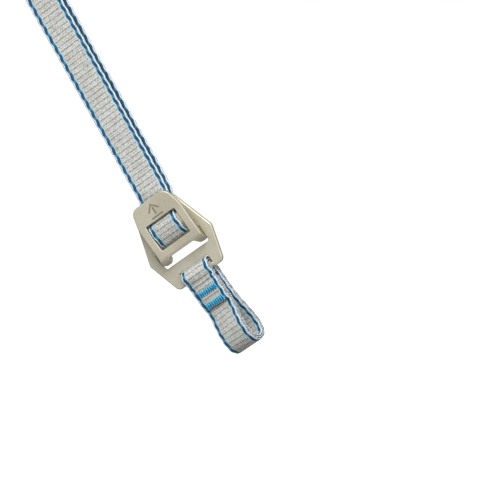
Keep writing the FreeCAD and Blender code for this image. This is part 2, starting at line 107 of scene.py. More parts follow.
def loop_yaw(z):
    """How far the hammock loop has twisted at a height."""
    drop = max(0.0, BAR_HEIGHT - z)
    return LOOP_TWIST * (1.0 - math.exp(-drop / LOOP_TWIST_REACH))


def on_loop(x, y, z):
    """A point of the hammock loop, given as if the loop weren't twisted."""
    centre = np.array((LOOP_AXIS[0], LOOP_AXIS[1], 0.0))
    offset = np.array((x, y - LOOP_AXIS[1], z))
    return centre + turn_z(loop_yaw(z)) @ offset


def in_row(points):
    """Points of the plates' frame in the row frame, in metres."""
    return (np.asarray(points, float) + PLATE_ORIGIN) * MM


# Points to each arc of a spline before it is sampled evenly
ARC_SAMPLES = 24


def smooth_line(controls, step):
    """A quadratic B-spline on the control points, sampled at an even step."""
    points = np.array(controls, float)
    middles = (points[1:] + points[:-1]) / 2
    middles[0], middles[-1] = points[0], points[-1]
    t = np.linspace(0, 1, ARC_SAMPLES, endpoint=False)[:, None]
    arcs = [(1 - t) ** 2 * middles[i] + 2 * t * (1 - t) * points[i + 1] + t ** 2 * middles[i + 1]
            for i in range(len(points) - 2)]
    line = np.vstack(arcs + [points[-1:]])
    gaps = np.linalg.norm(np.diff(line[:, :3], axis=0), axis=1)
    reach = np.concatenate(([0.0], np.cumsum(gaps)))
    along = np.linspace(0, reach[-1], int(round(reach[-1] / step)) + 1)
    return along, np.column_stack([np.interp(along, reach, column) for column in line.T])


# The angle between the control points of an arc
TURN_STEP = 45.0


def turn_points(y, z, radius, first, last):
    """Control points of an arc in the YZ plane, from one angle to another."""
    steps = int(round(abs(last - first) / TURN_STEP))
    way = math.copysign(TURN_STEP, last - first)
    outer = radius / math.cos(math.radians(TURN_STEP / 2))
    angles = [math.radians(first + way * (i + 0.5)) for i in range(steps)]
    return [(y + outer * math.cos(a), z + outer * math.sin(a)) for a in angles]


# ---------------------------------------------------------------- meshes
def place_object(name, data):
    """Puts a mesh, light or camera in the scene."""
    thing = bpy.data.objects.new(name, data)
    bpy.context.scene.collection.objects.link(thing)
    return thing


def make_object(name, points, faces, material, smooth=True):
    """A mesh from points in metres, its faces turned outwards."""
    mesh = bpy.data.meshes.new(name)
    mesh.from_pydata([tuple(p) for p in points], [], faces)
    shape = bmesh.new()
    shape.from_mesh(mesh)
    bmesh.ops.recalc_face_normals(shape, faces=shape.faces)
    shape.to_mesh(mesh)
    shape.free()
    mesh.polygons.foreach_set("use_smooth", [smooth] * len(mesh.polygons))
    mesh.materials.append(material)
    return place_object(name, mesh)


def unit(vectors):
    """Vectors, one to a row, brought to length 1."""
    return vectors / np.linalg.norm(vectors, axis=1)[:, None]


def ring_faces(rows, count):
    """The faces between rings of points that follow each other, each of the same count."""
    return [(r * count + c, r * count + (c + 1) % count,
             (r + 1) * count + (c + 1) % count, (r + 1) * count + c)
            for r in range(rows - 1) for c in range(count)]


# Half the webbing's thickness is a base with ribs and tracer yarns that stand up on it
BASE_HEIGHT = 0.36
RIB_HEIGHT = 0.16
TRACER_HEIGHT = 0.09
# Of the ribs' height, this share belongs to a wave of twice their pitch
WIDE_RIB_SHARE = 0.35
# Ribs fade out into the tracer, and the whole webbing thins where its edge rounds off
RIB_FADE_PLACE = TRACER_PLACE - 0.9
RIB_FADE = 0.5
RIB_SHARE_AT_EDGE = 0.35
EDGE_ROUND = 0.55
THICKNESS_SHARE_AT_EDGE = 0.35
# A dash of the tracer swells over a half width, and over a share of its pitch to each side
SWELL_HALF_WIDTH = 0.8
SWELL_HALF_LENGTH = 0.42
# How far the edge dents in at each rib, and where the tracer pulls it
SCALLOP = 0.14
EDGE_WAVE = 0.25
# The grid of points: the step along, and the places across one half, closest at the tracer
ROW_STEP = 0.31
HALF_COLUMNS = (0.0, 2.0, 4.0, 5.6, 6.6, 7.1, 7.45, 7.75, 8.0, 8.25, 8.55, 8.9, 9.3, 9.65, 9.88)
COLUMNS = np.array([-x for x in reversed(HALF_COLUMNS[1:])] + list(HALF_COLUMNS))


def swing(coordinate, pitch):
    """A wave along a coordinate, 0 in its valleys and 1 on its crests."""
    return 0.5 - 0.5 * np.cos(2 * np.pi * coordinate / pitch)


def rib(along):
    """Height of the webbing's ribs, 0 to 1: every second valley is deeper."""
    wide = swing(along, 2 * RIB_PITCH)
    return WIDE_RIB_SHARE * wide + (1 - WIDE_RIB_SHARE) * swing(along, RIB_PITCH)


def dash_phase(across, along):
    """Where a spot lies along its dash of the tracer, 0 to 1 with the dash's middle at 0.5."""
    return (along / DASH_PITCH + np.where(across > 0, DASH_SHIFT, 0.0)) % 1.0


def tracer_swell(across, along):
    """How far the tracer yarns stand up, 0 to 1, one swell to a dash."""
    phase = dash_phase(across, along)
    wave = TRACER_WAVE * np.sin(2 * np.pi * phase)
    side = (np.abs(across) - TRACER_PLACE - wave) / SWELL_HALF_WIDTH
    length = (phase - 0.5) / SWELL_HALF_LENGTH
    return np.sqrt(np.clip(1.0 - side ** 2 - length ** 2, 0.0, 1.0))


def half_thickness(across, along):
    """How far the webbing's face stands off its middle."""
    body = np.clip((RIB_FADE_PLACE - np.abs(across)) / RIB_FADE, 0.0, 1.0)
    edge = np.clip((WEB_WIDTH / 2 - np.abs(across)) / EDGE_ROUND, 0.0, 1.0)
    rib_share = RIB_SHARE_AT_EDGE + (1 - RIB_SHARE_AT_EDGE) * body
    height = BASE_HEIGHT + RIB_HEIGHT * rib(along) * rib_share
    height += TRACER_HEIGHT * tracer_swell(across, along)
    thickness_share = THICKNESS_SHARE_AT_EDGE + (1 - THICKNESS_SHARE_AT_EDGE) * np.sqrt(edge)
    return np.minimum(height, WEB_THICKNESS / 2) * thickness_share


def edge_dent(side, along):
    """How far the edge on one side, 1 or -1, is pulled in."""
    ribbed = 1.0 - swing(along, RIB_PITCH)
    pulled = 0.5 - 0.5 * np.sin(2 * np.pi * dash_phase(side, along))
    return SCALLOP * ribbed + EDGE_WAVE * pulled


def end_faces(start):
    """The faces that close one end of the webbing, whose ring of points begins at start."""
    wide = len(COLUMNS)
    faces = [(start + c, start + 2 * wide - c, start + 2 * wide - c - 1, start + c + 1)
             for c in range(wide - 1)]
    faces.append((start + 2 * wide + 1, start + 2 * wide, start))
    faces.append((start + wide - 1, start + wide + 1, start + wide))
    return faces


def webbing(name, controls, material):
    """A length of ribbed webbing whose middle follows the controls, each (x, y, z, yaw).
    Also gives its length."""
    along, line = smooth_line(controls, ROW_STEP)
    middle, yaw = line[:, :3], np.radians(line[:, 3])
    ahead = unit(np.gradient(middle, axis=0))
    across = np.column_stack((np.cos(yaw), np.sin(yaw), np.zeros(len(yaw))))
    across = unit(across - ahead * np.sum(across * ahead, axis=1)[:, None])
    normal = np.cross(across, ahead)

    # Where the webbing leans, its crosswise yarns are pulled level
    grid_x = np.broadcast_to(COLUMNS, (len(along), len(COLUMNS)))
    grid_along = along[:, None] - grid_x * ahead[:, :1]
    height = half_thickness(grid_x, grid_along)

    # The dents take the outer columns along with the edge
    right_dent, left_dent = edge_dent(1.0, along), edge_dent(-1.0, along)
    dent = np.where(grid_x > 0, right_dent[:, None], left_dent[:, None])
    border = WEB_WIDTH / 2 - TRACER_PLACE
    near_edge = np.clip((np.abs(grid_x) - TRACER_PLACE) / border, 0, 1)
    bent_x = grid_x - np.sign(grid_x) * dent * near_edge

    level = middle[:, None] + across[:, None] * bent_x[..., None]
    front = level + normal[:, None] * height[..., None]
    back = level - normal[:, None] * height[..., None]
    right = (middle + across * (WEB_WIDTH / 2 - right_dent)[:, None])[:, None]
    left = (middle - across * (WEB_WIDTH / 2 - left_dent)[:, None])[:, None]
    rings = np.concatenate((front, right, back[:, ::-1], left), axis=1)
    rows, count = rings.shape[:2]
    faces = ring_faces(rows, count) + end_faces(0) + end_faces((rows - 1) * count)
    thing = make_object(name, in_row(rings.reshape(-1, 3)), faces, material)

    # The material reads each point's place in the weave, along as its level yarns lie
    weave = thing.data.attributes.new("weave", "FLOAT_VECTOR", "POINT")
    values = np.zeros((rows, count, 3), np.float32)
    values[..., 0] = np.concatenate((COLUMNS, [WEB_WIDTH / 2], COLUMNS[::-1], [-WEB_WIDTH / 2]))
    values[..., 1] = along[:, None] - values[..., 0] * ahead[:, :1]
    weave.data.foreach_set("vector", values.ravel())
    return thing, along[-1]


THREAD_RADIUS = 0.42
THREAD_SIDES = 7
# No stroke of thread runs this way, so a cross product with it is never empty
THREAD_UP = (0.13, 0.97, 0.21)


def thread_tube(points):
    """Vertices and faces of a thread that follows the points, closed at its ends."""
    line = np.array(points, float)
    ahead = unit(np.gradient(line, axis=0))
    up = unit(np.cross(ahead, THREAD_UP))
    side = np.cross(ahead, up)
    angles = np.linspace(0, 2 * np.pi, THREAD_SIDES, endpoint=False)
    rings = (line[:, None] + THREAD_RADIUS * np.cos(angles)[None, :, None] * up[:, None]
             + THREAD_RADIUS * np.sin(angles)[None, :, None] * side[:, None])
    last = (len(line) - 1) * THREAD_SIDES
    faces = ring_faces(len(line), THREAD_SIDES)
    faces.append(tuple(range(THREAD_SIDES)))
    faces.append(tuple(last + c for c in range(THREAD_SIDES)))
    return rings.reshape(-1, 3), faces


# A tack's size across and along the webbing, and its number of strokes
TACK_WIDTH = 14.5
TACK_LENGTH = 4.1
TACK_STROKES = 18
# How a stroke of thread rises out of the webbing and lies down again
STROKE_RISE = (-0.25, 0.04, 0.1, 0.12, 0.1, 0.04)
# The ends of the strokes are ragged by two waves: size, pace from stroke to stroke, and start
RAGGED_WAVES = ((0.16, 7.3, 0.0), (0.1, 3.1, 1.0))


def bar_tack(name, place, centre, height, face, outward, material):
    """A bar tack's zigzag on one face of the webbing. place turns (x, y, z) into the plates'
    frame, face is that face's y and outward the sign of y that leads away from it."""
    points = []
    for stroke in range(TACK_STROKES):
        start = -TACK_WIDTH / 2 + TACK_WIDTH * stroke / TACK_STROKES
        end = -TACK_WIDTH / 2 + TACK_WIDTH * (stroke + 1) / TACK_STROKES
        way = 1 if stroke % 2 == 0 else -1
        ragged = sum(size * math.sin(pace * stroke + first) for size, pace, first in RAGGED_WAVES)
        stretch = 1.0 + ragged / TACK_LENGTH
        for step, lift in enumerate(STROKE_RISE):
            share = step / len(STROKE_RISE)
            up = way * TACK_LENGTH * (share - 0.5)
            points.append((centre + start + (end - start) * share, lift, height + up * stretch))
    line = [place(x, face + outward * lift, z) for x, lift, z in points]
    vertices, faces = thread_tube(line)
    thing = make_object(name, in_row(vertices), faces, material)

    # The material paints every second stroke lighter, as painted light, and the others as painted
    # shade
    stitch = thing.data.attributes.new("stitch", "FLOAT", "POINT")
    second = np.arange(len(points)) // len(STROKE_RISE) % 2
    stitch.data.foreach_set("value", np.repeat(second, THREAD_SIDES).astype(np.float32))
    return thing


# ---------------------------------------------------------------- material nodes
def linear(red, green, blue):
    """An sRGB colour of 0 to 255 as the linear values that a node takes, by that standard's
    own curve."""
    def channel(value):
        value /= 255.0
        return value / 12.92 if value <= 0.04045 else ((value + 0.055) / 1.055) ** 2.4
    return (channel(red), channel(green), channel(blue), 1.0)


def new_material(name):
    """A material with its node tree and its shader node."""
    material = bpy.data.materials.new(name)
    material.use_nodes = True
    tree = material.node_tree
    return material, tree, tree.nodes["Principled BSDF"]


def feed(tree, socket, given):
    """Links an output to a socket, or sets the socket to a value."""
    if isinstance(given, bpy.types.NodeSocket):
        tree.links.new(given, socket)
    else:
        socket.default_value = given


def set_inputs(node, **values):
    """Sets a node's inputs; an underscore stands for a space of the input's name."""
    for name, value in values.items():
        node.inputs[name.replace("_", " ")].default_value = value


def calc(tree, operation, *given):
    """The result of a maths node."""
    node = tree.nodes.new("ShaderNodeMath")
    node.operation = operation
    for socket, value in zip(node.inputs, given):
        feed(tree, socket, value)
    return node.outputs[0]


def add(tree, first, second):
    return calc(tree, "ADD", first, second)


def subtract(tree, first, second):
    return calc(tree, "SUBTRACT", first, second)


def multiply(tree, first, second):
    return calc(tree, "MULTIPLY", first, second)


def divide(tree, first, second):
    return calc(tree, "DIVIDE", first, second)


def absolute(tree, value):
    return calc(tree, "ABSOLUTE", value)


def sine(tree, turned):
    return calc(tree, "SINE", turned)


def dot(tree, first, second):
    """The dot product of two vectors."""
    node = tree.nodes.new("ShaderNodeVectorMath")
    node.operation = "DOT_PRODUCT"
    feed(tree, node.inputs[0], first)
    feed(tree, node.inputs[1], second)
    return node.outputs["Value"]


# The Mix node's sockets for a factor and two colours, and the one that gives a colour
MIX_INPUTS = (0, 6, 7)
MIX_OUTPUT = 2


def mixed(tree, factor, first, second, blend="MIX"):
    """Two colours mixed: the first at factor 0 and the second at 1."""
    node = tree.nodes.new("ShaderNodeMix")
    node.data_type = "RGBA"
    node.blend_type = blend
    for socket, given in zip(MIX_INPUTS, (factor, first, second)):
        feed(tree, node.inputs[socket], given)
    return node.outputs[MIX_OUTPUT]


def between(tree, factor, first_tone, second_tone):
    """Two sRGB tones mixed: the first at factor 0 and the second at 1."""
    return mixed(tree, factor, linear(*first_tone), linear(*second_tone))


def tinted(tree, colour, factor, tone):
    """A colour with an sRGB tone mixed in by a factor."""
    return mixed(tree, factor, colour, linear(*tone))


def ramp(tree, value, low, high, to_low=0.0, to_high=1.0, smooth=True):
    """One value as another goes from low to high, which may also run downwards."""
    node = tree.nodes.new("ShaderNodeMapRange")
    node.interpolation_type = "SMOOTHSTEP" if smooth else "LINEAR"
    for socket, given in zip(node.inputs, (value, low, high, to_low, to_high)):
        feed(tree, socket, given)
    return node.outputs[0]


def noise(tree, coordinates, scale, detail, roughness):
    node = tree.nodes.new("ShaderNodeTexNoise")
    feed(tree, node.inputs["Vector"], coordinates)
    set_inputs(node, Scale=scale, Detail=detail, Roughness=roughness)
    return node.outputs["Fac"]


def bump(tree, height, distance, strength):
    """A normal bent by a height, over a distance in millimetres."""
    node = tree.nodes.new("ShaderNodeBump")
    set_inputs(node, Strength=strength, Distance=distance * MM)
    feed(tree, node.inputs["Height"], height)
    return node.outputs[0]


def texture_place(tree, output):
    return tree.nodes.new("ShaderNodeTexCoord").outputs[output]


def attribute(tree, name):
    node = tree.nodes.new("ShaderNodeAttribute")
    node.attribute_name = name
    return node


def parts_of(tree, vector):
    """A vector's three parts."""
    split = tree.nodes.new("ShaderNodeSeparateXYZ")
    tree.links.new(vector, split.inputs[0])
    return split.outputs


RECESS_SAMPLES = 8


def recess_shade(tree, reach, open_sky, shut_sky, strength):
    """How much painted shade darkens a spot in a corner or crease of its own piece: 0 where it
    sees at least open_sky of the space within reach, and strength where it sees no more than
    shut_sky."""
    hidden = tree.nodes.new("ShaderNodeAmbientOcclusion")
    hidden.samples = RECESS_SAMPLES
    hidden.only_local = True
    set_inputs(hidden, Distance=reach * MM)
    return ramp(tree, hidden.outputs["AO"], open_sky, shut_sky, 0.0, strength)


# ---------------------------------------------------------------- metal
# Noises are (scale, detail, roughness), with the scale in turns to the metre
METAL_GRAIN = (5200.0, 3.0, 0.6)
METAL_CLOUD = (70.0, 3.0, 0.5)
METAL_BLAST = (1500.0, 2.0, 0.6)
METAL_MARKS = (420.0, 4.0, 0.7)
# Ranges are (from, to) of what they follow, then the result at both; that is 0 to 1 if left out
CLOUD_RANGE = (0.35, 0.65)
SPECKLE_RANGE = (0.3, 0.7)
GRAIN_CONTRAST = 0.06
BLAST_CONTRAST = 0.05
MARKS_ROUGHNESS = (0.35, 0.7, -0.05, 0.06)
MARKS_WEAR_AND_HIGHLIGHT = (0.35, 0.6, 0.0, 0.35)
# How much the marks count in the bump's height
MARKS_HEIGHT = 0.5
# Bumps are (distance, strength)
METAL_BUMP = (0.03, 0.55)
METAL_SHADER = {"Metallic": 0.5, "Specular_IOR_Level": 0.3}
# A rounded edge is where the normal of a bevel of this radius differs from the surface's
EDGE_BEVEL = 0.4
EDGE_SAMPLES = 6
EDGE_MATCH = (0.99, 0.93)
# Rounded edges are lightened towards this tone: partly wear, partly painted highlight
EDGE_WEAR_AND_HIGHLIGHT_TONE = (214, 209, 192)
# A plate's sides are where the normal turns away from the Y axis; they are darkened with painted
# shade
SIDE_SHADE_RANGE = (0.75, 0.3, 0.0, 0.75)
SIDE_SHADE_TONE = (132, 124, 102)
# Painted shade in the metal's corners and creases: reach, open and shut sky, strength, then its
# brown tone
METAL_RECESS_SHADE = (1.6, 0.85, 0.25, 0.75)
METAL_RECESS_SHADE_TONE = (112, 102, 78)


def edge_wear_and_highlight(tree, marks):
    """Where the surface turns sharply outwards, broken up by the handling marks: lightened there
    as wear and as a painted highlight.
    """
    rounded = tree.nodes.new("ShaderNodeBevel")
    rounded.samples = EDGE_SAMPLES
    set_inputs(rounded, Radius=EDGE_BEVEL * MM)
    surface = tree.nodes.new("ShaderNodeNewGeometry")
    match = dot(tree, rounded.outputs[0], surface.outputs["Normal"])
    return multiply(tree, ramp(tree, match, *EDGE_MATCH), ramp(tree, marks, *MARKS_WEAR_AND_HIGHLIGHT))


def side_shade_mask(tree):
    """Where the surface belongs to a plate's sides instead of its two broad faces, which get
    painted shade.
    """
    facing = parts_of(tree, texture_place(tree, "Normal"))[1]
    return ramp(tree, absolute(tree, facing), *SIDE_SHADE_RANGE)


def metal_material(name, tone, worn, roughness):
    """Satin anodised aluminium with a fine blasted grain and faint handling marks."""
    material, tree, shader = new_material(name)
    place = texture_place(tree, "Object")
    grain = noise(tree, place, *METAL_GRAIN)
    cloud = noise(tree, place, *METAL_CLOUD)
    blast = noise(tree, place, *METAL_BLAST)
    marks = noise(tree, place, *METAL_MARKS)
    colour = between(tree, ramp(tree, cloud, *CLOUD_RANGE), tone, worn)
    for speckle, contrast in ((grain, GRAIN_CONTRAST), (blast, BLAST_CONTRAST)):
        shade = ramp(tree, speckle, *SPECKLE_RANGE, 1.0 - contrast, 1.0 + contrast)
        colour = mixed(tree, 1.0, colour, shade, "MULTIPLY")
    # Painted shade on the plate's sides
    colour = tinted(tree, colour, side_shade_mask(tree), SIDE_SHADE_TONE)
    # Worn edges and painted highlight on the rounded edges
    colour = tinted(tree, colour, edge_wear_and_highlight(tree, marks), EDGE_WEAR_AND_HIGHLIGHT_TONE)
    # Painted shade in corners and creases
    colour = tinted(tree, colour, recess_shade(tree, *METAL_RECESS_SHADE), METAL_RECESS_SHADE_TONE)
    feed(tree, shader.inputs["Base Color"], colour)
    set_inputs(shader, **METAL_SHADER)
    rough = add(tree, ramp(tree, marks, *MARKS_ROUGHNESS), roughness)
    feed(tree, shader.inputs["Roughness"], rough)
    height = add(tree, grain, multiply(tree, marks, MARKS_HEIGHT))
    feed(tree, shader.inputs["Normal"], bump(tree, height, *METAL_BUMP))
    return material


# ---------------------------------------------------------------- webbing
# These noises follow the weave's coordinates, so their scale is in turns to the millimetre
WEBBING_FLECK = (1.3, 3.0, 0.6)
WEBBING_BROAD = (0.11, 2.0, 0.5)
WEBBING_MOTTLE = (1.7, 2.0, 0.6)
# A float is the stretch of a warp yarn that lies on top between two crossings
FLOAT_WIDTH = 0.62
FLOAT_LENGTH = RIB_PITCH / 2
# How much the wide ribs count in the grey's painted shade and light, the fine ones making up the
# rest
SHADED_WIDE_RIB_SHARE = 0.45
# The ribs' valleys are painted dark and their crests light: painted shade and painted light
RIB_SHADE = (0.0, 0.9)
RIB_SHADE_TONES = ((152, 152, 146), (236, 240, 237))
# Tints of the grey in the order they are laid on: what each follows, the range, and the tone. The
# first is painted shade in the wide ribs' valleys.
GREY_TINTS = (
    ("wide ribs", (0.5, 0.0, 0.0, 0.35), (150, 146, 134)),
    ("fleck", (0.4, 0.7, 0.0, 0.4), (140, 138, 132)),
    ("broad", (0.35, 0.65, 0.0, 0.3), (170, 165, 153)),
    ("mottle", (0.53, 0.62, 0.0, 0.5), (246, 249, 247)),
    ("mottle", (0.47, 0.38, 0.0, 0.4), (112, 110, 104)),
    ("chance", (0.55, 1.0, 0.0, 0.4), (250, 252, 249)),
    ("chance", (0.45, 0.0, 0.0, 0.3), (122, 120, 114)),
    ("floats", (0.4, 0.0, 0.0, 0.5), (96, 94, 88)),
)
# The tracer's border and core, by their distance from its middle; the border has an inner and
# an outer tone
BORDER_RANGE = (1.75, 1.45)
BORDER_TONES = ((170, 207, 218), (214, 237, 249))
CORE_RANGE = (1.0, 0.82)
CORE_TONE = (50, 114, 144)
# The light stitch and the dark dash, both ovals: phase of the middle, half length, half width
STITCH_OVAL = (0.0, 0.8, 0.6)
STITCH_TONE = (62, 128, 156)
DASH_OVAL = (0.5, 2.35, 1.08)
DASH_TONES = ((12, 52, 92), (24, 88, 126))
OVAL_POWER = 2.4
OVAL_EDGE = (1.15, 0.75)
# The dash's strands: how much they slant, and their turn in radians to the millimetre
STRAND_SLANT = 3.2
STRAND_TURN = 5.2
STRAND_RANGE = (-0.7, 0.7)
# The selvage lies outside the tracer; its twill turns by radians to the millimetre across
SELVAGE_RANGE = (9.45, 9.65)
TWILL_TURN = 5.0
TWILL_RANGE = (-0.9, 0.9)
TWILL_TONES = ((160, 168, 174), (214, 221, 225))
SELVAGE_FLECK = (0.45, 0.65, 0.0, 0.5)
SELVAGE_FLECK_TONE = (106, 114, 122)
# The rim is the webbing's side face, with its loose yarns; their noise is to the metre again
RIM_RANGE = (COLUMNS[-1] - 0.02, WEB_WIDTH / 2 - 0.04, 0.0, 0.85)
RIM_LOOSE = (1400.0, 3.0, 0.65)
RIM_LOOSE_RANGE = (0.42, 0.58)
RIM_TONES = ((84, 96, 104), (232, 238, 238))
# Painted shade, a near-black blue, in the webbing's creases and where one layer lies under
# another: reach, open and shut sky, strength, then its tone
WEBBING_RECESS_SHADE = (3.0, 0.9, 0.6, 0.85)
WEBBING_RECESS_SHADE_TONE = (16, 24, 34)
WEBBING_SHADER = {"Roughness": 0.68, "Sheen_Weight": 0.25, "Sheen_Roughness": 0.4}
# How much the floats and the flecks count in the bump's height
FLOAT_RELIEF = 0.8
FLECK_RELIEF = 0.4
WEBBING_BUMP = (0.1, 0.8)


def crests(tree, coordinate, pitch):
    """A wave along a coordinate, 0 in its valleys and 1 on its crests."""
    turned = add(tree, multiply(tree, coordinate, 2 * math.pi / pitch), -math.pi / 2)
    return ramp(tree, sine(tree, turned), -1.0, 1.0, smooth=False)


def yarn_floats(tree, across, along):
    """The warp's short floats, laid like bricks: how high a spot stands on its float, and
    the float's own chance of 0 to 1."""
    along_floats = divide(tree, along, FLOAT_LENGTH)
    row = calc(tree, "FLOOR", along_floats)
    stagger = multiply(tree, calc(tree, "MODULO", row, 2.0), 0.5)
    across_floats = add(tree, divide(tree, across, FLOAT_WIDTH), stagger)
    cell = tree.nodes.new("ShaderNodeCombineXYZ")
    feed(tree, cell.inputs[0], calc(tree, "FLOOR", across_floats))
    feed(tree, cell.inputs[1], row)
    chance = tree.nodes.new("ShaderNodeTexWhiteNoise")
    feed(tree, chance.inputs["Vector"], cell.outputs[0])

    def swell(floats):
        return sine(tree, multiply(tree, calc(tree, "FRACT", floats), math.pi))
    height = multiply(tree, swell(across_floats), swell(along_floats))
    return height, chance.outputs["Value"]


def webbing_grey(tree, place, along, fleck, floats, chance):
    """The grey body: ribs painted dark in their valleys and light on their crests as painted shade
    and light, with the yarns that cross them, and uneven patches.
    """
    wide = crests(tree, along, 2 * RIB_PITCH)
    fine = crests(tree, along, RIB_PITCH)
    ribs = add(tree, multiply(tree, wide, SHADED_WIDE_RIB_SHARE),
               multiply(tree, fine, 1.0 - SHADED_WIDE_RIB_SHARE))
    followed = {"wide ribs": wide, "fleck": fleck, "chance": chance, "floats": floats,
                "broad": noise(tree, place, *WEBBING_BROAD),
                "mottle": noise(tree, place, *WEBBING_MOTTLE)}
    grey = between(tree, ramp(tree, ribs, *RIB_SHADE), *RIB_SHADE_TONES)
    for name, span, tone in GREY_TINTS:
        grey = tinted(tree, grey, ramp(tree, followed[name], *span), tone)
    return grey


def oval(tree, phase, off, centre, half_length, half_width):
    """A blunt oval in each dash of the tracer, round the phase that is its centre."""
    gap = absolute(tree, subtract(tree, phase, centre))
    gap = calc(tree, "MINIMUM", gap, subtract(tree, 1.0, gap))
    length = divide(tree, multiply(tree, gap, DASH_PITCH), half_length)
    side = divide(tree, off, half_width)
    total = add(tree, calc(tree, "POWER", absolute(tree, length), OVAL_POWER),
                calc(tree, "POWER", absolute(tree, side), OVAL_POWER))
    return ramp(tree, total, *OVAL_EDGE)


def selvage_colour(tree, across, along, fleck):
    """The pale twill outside the tracer."""
    turned = add(tree, multiply(tree, across, TWILL_TURN),
                 multiply(tree, along, 2 * math.pi / RIB_PITCH))
    pale = between(tree, ramp(tree, sine(tree, turned), *TWILL_RANGE), *TWILL_TONES)
    return tinted(tree, pale, ramp(tree, fleck, *SELVAGE_FLECK), SELVAGE_FLECK_TONE)


def dash_colour(tree, along, off):
    """The dark blue of the tracer's dashes, in slanting strands."""
    turned = multiply(tree, add(tree, multiply(tree, off, STRAND_SLANT), along), STRAND_TURN)
    return between(tree, ramp(tree, sine(tree, turned), *STRAND_RANGE), *DASH_TONES)


def rim_colour(tree):
    """The loose yarns of the webbing's side faces."""
    loose = noise(tree, texture_place(tree, "Object"), *RIM_LOOSE)
    return between(tree, ramp(tree, loose, *RIM_LOOSE_RANGE), *RIM_TONES)


def webbing_material(name):
    """Ribbed grey webbing with a dashed blue tracer along each edge."""
    material, tree, shader = new_material(name)
    place = attribute(tree, "weave").outputs["Vector"]
    across, along = parts_of(tree, place)[:2]
    fleck = noise(tree, place, *WEBBING_FLECK)
    floats, chance = yarn_floats(tree, across, along)
    colour = webbing_grey(tree, place, along, fleck, floats, chance)

    # How far along its dash a spot lies, and how far outside the middle of the swaying tracer
    out = absolute(tree, across)
    shift = multiply(tree, calc(tree, "GREATER_THAN", across, 0.0), DASH_SHIFT)
    phase = calc(tree, "FRACT", add(tree, divide(tree, along, DASH_PITCH), shift))
    sway = multiply(tree, sine(tree, multiply(tree, phase, 2 * math.pi)), TRACER_WAVE)
    off = subtract(tree, subtract(tree, out, TRACER_PLACE), sway)
    away = absolute(tree, off)

    # Tracer: a light border, a core, then a light stitch and a dark dash in turn
    trim = between(tree, calc(tree, "GREATER_THAN", off, 0.0), *BORDER_TONES)
    colour = mixed(tree, ramp(tree, away, *BORDER_RANGE), colour, trim)
    colour = tinted(tree, colour, ramp(tree, away, *CORE_RANGE), CORE_TONE)
    selvage = ramp(tree, subtract(tree, out, sway), *SELVAGE_RANGE)
    colour = mixed(tree, selvage, colour, selvage_colour(tree, across, along, fleck))
    colour = tinted(tree, colour, oval(tree, phase, off, *STITCH_OVAL), STITCH_TONE)
    colour = mixed(tree, oval(tree, phase, off, *DASH_OVAL), colour, dash_colour(tree, along, off))
    colour = mixed(tree, ramp(tree, out, *RIM_RANGE), colour, rim_colour(tree))
    # Painted shade in creases and between the layers
    colour = tinted(tree, colour, recess_shade(tree, *WEBBING_RECESS_SHADE), WEBBING_RECESS_SHADE_TONE)
    feed(tree, shader.inputs["Base Color"], colour)
    set_inputs(shader, **WEBBING_SHADER)
    height = add(tree, multiply(tree, floats, FLOAT_RELIEF), multiply(tree, fleck, FLECK_RELIEF))
    feed(tree, shader.inputs["Normal"], bump(tree, height, *WEBBING_BUMP))
    return material


# ---------------------------------------------------------------- thread, floor and backdrop
# Noises to the metre again, and the two tones of every first and every second stroke: painted
# shade on the first, painted light on the second
THREAD_CLOUD = (900.0, 2.0, 0.5)
THREAD_CLOUD_RANGE = (0.38, 0.62)
THREAD_WISPS = (5200.0, 3.0, 0.6)
THREAD_WISPS_RANGE = (0.55, 0.8, 0.0, 0.4)
THREAD_WISPS_TONE = (112, 184, 212)
SHADED_STROKE_TONES = ((0, 74, 128), (0, 102, 160))
LIT_STROKE_TONES = ((0, 166, 212), (34, 202, 238))
THREAD_SHADER = {"Roughness": 0.5, "Sheen_Weight": 0.3}
THREAD_BUMP = (0.05, 0.7)


def thread_material(name):
    """Twisted blue sewing thread, with painted light on every second stroke and painted shade on
    the others.
    """
    material, tree, shader = new_material(name)
    place = texture_place(tree, "Object")
    cloud = ramp(tree, noise(tree, place, *THREAD_CLOUD), *THREAD_CLOUD_RANGE)
    wisps = noise(tree, place, *THREAD_WISPS)
    dark = between(tree, cloud, *SHADED_STROKE_TONES)
    light = between(tree, cloud, *LIT_STROKE_TONES)
    # Painted light on every second stroke, painted shade on the others
    colour = mixed(tree, attribute(tree, "stitch").outputs["Fac"], dark, light)
    colour = tinted(tree, colour, ramp(tree, wisps, *THREAD_WISPS_RANGE), THREAD_WISPS_TONE)
    feed(tree, shader.inputs["Base Color"], colour)
    set_inputs(shader, **THREAD_SHADER)
    feed(tree, shader.inputs["Normal"], bump(tree, wisps, *THREAD_BUMP))
    return material


WHITE = (1.0, 1.0, 1.0, 1.0)
MATT = 0.9


def plain_material(name, level, glow):
    """A matt black, grey or white that also shines white by itself."""
    material, _, shader = new_material(name)
    set_inputs(shader, Base_Color=(level, level, level, 1.0), Roughness=MATT,
               Emission_Color=WHITE, Emission_Strength=glow)
    return material


WEBBING = webbing_material("webbing")
THREAD_BLUE = thread_material("tack_thread")


# ---------------------------------------------------------------- metal plates
# Each plate's node, slot, fresh tone, worn tone and roughness
PLATES = (
    ("hook_plate", "hook_metal", (209, 204, 184), (198, 193, 172), 0.5),
    ("receiver_plate", "receiver_metal", (209, 204, 185), (199, 194, 174), 0.52),
)
for node, slot, tone, worn, roughness in PLATES:
    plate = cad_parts[node]
    plate.data.materials.clear()
    plate.data.materials.append(metal_material(slot, tone, worn, roughness))


# ---------------------------------------------------------------- strap
# Two layers that touch lie this far to either side of the middle between them
LAYER = 0.575
